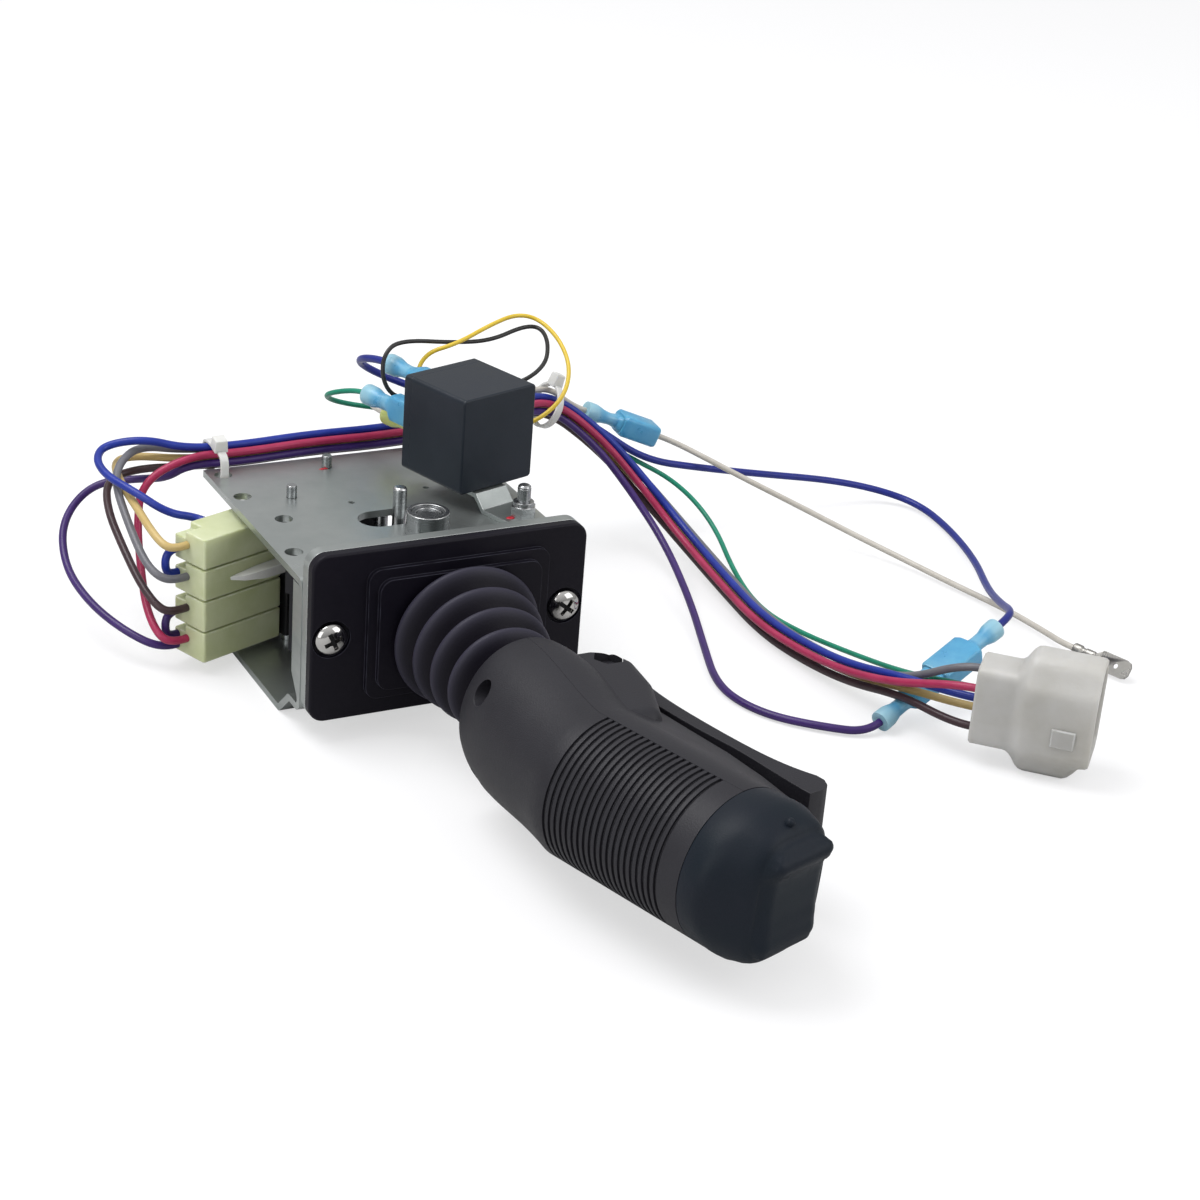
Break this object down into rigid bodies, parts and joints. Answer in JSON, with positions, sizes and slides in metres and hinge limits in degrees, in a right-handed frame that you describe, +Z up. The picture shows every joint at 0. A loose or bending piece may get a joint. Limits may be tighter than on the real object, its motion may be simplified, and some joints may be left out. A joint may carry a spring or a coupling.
{
  "type": "industrial joystick",
  "caption": "Single-axis control joystick with a pistol grip, rubber bellows and bezel, sheet chassis, snap switch stack, cube relay and tied wire harness.",
  "frame": {"origin": "midway between the two panel screws, on the front plate's front face, behind the rubber bezel", "axes": "+X along the bezel's width, +Y back from the bezel into the chassis, +Z up, out of the top plate"},
  "size_m": [0.3199, 0.2917, 0.0901],
  "materials": {
    "zinc_plate": "zinc plated sheet, soft mottling",
    "steel": "turned steel",
    "spring_steel": "drawn spring wire",
    "chrome": "bright plated",
    "brass": "tin plated brass",
    "tinned": "tinned tab",
    "rubber": "moulded rubber, satin",
    "boot_rubber": "moulded rubber, satin",
    "grip_plastic": "moulded plastic, satin",
    "switch_black": "moulded thermoset",
    "plunger_plastic": "moulded plunger",
    "relay_black": "glossy moulding",
    "plug_yellow": "translucent nylon",
    "plug_white": "milky nylon",
    "terminal_blue": "translucent nylon",
    "terminal_yellow": "translucent nylon",
    "nylon_white": "nylon strap",
    "wire_blue": "insulation",
    "wire_tan": "insulation",
    "wire_grey": "insulation",
    "wire_brown": "insulation",
    "wire_pink": "insulation",
    "wire_violet": "insulation",
    "wire_purple": "insulation",
    "wire_navy": "insulation",
    "wire_green": "insulation",
    "wire_white": "insulation",
    "wire_yellow": "insulation",
    "wire_black": "insulation"
  },
  "bodies": {
    "chassis": {"chassis_bracket": "zinc_plate", "front_plate": "zinc_plate", "boot_bezel": "rubber", "bellows_boot": "rubber", "panel_screws": "chrome", "panel_nuts": "steel", "pivot_boss_top": "steel", "pivot_boss_bottom": "steel", "needle_bearings": "steel", "centring_spring": "spring_steel", "spring_post": "steel", "microswitch_1": "switch_black", "microswitch_2": "switch_black", "microswitch_3": "switch_black", "microswitch_4": "switch_black", "switch_plug_1": "plug_yellow", "switch_plug_2": "plug_yellow", "switch_plug_3": "plug_yellow", "switch_plug_4": "plug_yellow", "switch_screws": "steel", "relay_cover": "relay_black", "relay_base": "relay_black", "relay_blades": "brass", "relay_bracket": "zinc_plate", "relay_screw": "steel", "relay_nut": "steel", "plug_housing": "plug_white", "relay_terminals": "terminal_blue", "relay_terminal_yellow": "terminal_yellow", "branch_terminals": "terminal_blue", "splice_terminals": "terminal_blue", "tab_terminal": "tinned", "cable_ties": "nylon_white", "wire_blue": "wire_blue", "wire_tan": "wire_tan", "wire_grey": "wire_grey", "wire_brown": "wire_brown", "wire_pink": "wire_pink", "wire_violet": "wire_violet", "wire_purple": "wire_purple", "wire_navy": "wire_navy", "wire_green": "wire_green", "wire_white": "wire_white", "wire_yellow": "wire_yellow", "wire_black": "wire_black"},
    "lever": {"pivot_shaft": "steel", "lever_hub": "grip_plastic", "spring_pin": "steel", "lever_stem": "steel", "grip_rear": "grip_plastic", "grip_front": "grip_plastic", "grip_screws": "steel", "rocker_boot": "boot_rubber", "grip_switches": "switch_black", "trigger_pin": "steel", "trigger_spring": "spring_steel"},
    "trigger": {"trigger": "grip_plastic"},
    "rocker": {"thumb_rocker": "grip_plastic"},
    "forward_plungers": {"forward_plungers": "plunger_plastic"},
    "reverse_plungers": {"reverse_plungers": "plunger_plastic"}
  },
  "joints": [
    {"name": "lever_swing", "type": "hinge", "parent": "chassis", "child": "lever", "pos_m": [0, 0.0157, -0.0045], "axis": [0, 0, 1], "range_deg": [-20, 20], "stiffness_Nm_per_rad": 1.2, "deforming": ["bellows_boot", "centring_spring"]},
    {"name": "trigger_pull", "type": "hinge", "parent": "lever", "child": "trigger", "pos_m": [0.0215, -0.061, -0.0045], "axis": [0, 0, 1], "range_deg": [-3.4, 0], "stiffness_Nm_per_rad": 0.6, "springref_deg": 2.86, "deforming": ["trigger_spring"]},
    {"name": "rocker_tilt", "type": "hinge", "parent": "lever", "child": "rocker", "pos_m": [0.01754, -0.15438, -0.0045], "axis": [0.9563, 0.2924, 0], "range_deg": [-8, 8], "stiffness_Nm_per_rad": 0.4, "deforming": ["rocker_boot"]},
    {"name": "forward_plungers_press", "type": "slide", "parent": "chassis", "child": "forward_plungers", "axis": [-0.3584, 0.9336, 0], "range_m": [0, 0.0008], "stiffness_N_per_m": 300, "springref_m": -0.0005},
    {"name": "reverse_plungers_press", "type": "slide", "parent": "chassis", "child": "reverse_plungers", "axis": [-0.3584, 0.9336, 0], "range_m": [0, 0.0008], "stiffness_N_per_m": 300, "springref_m": -0.0005}
  ]
}
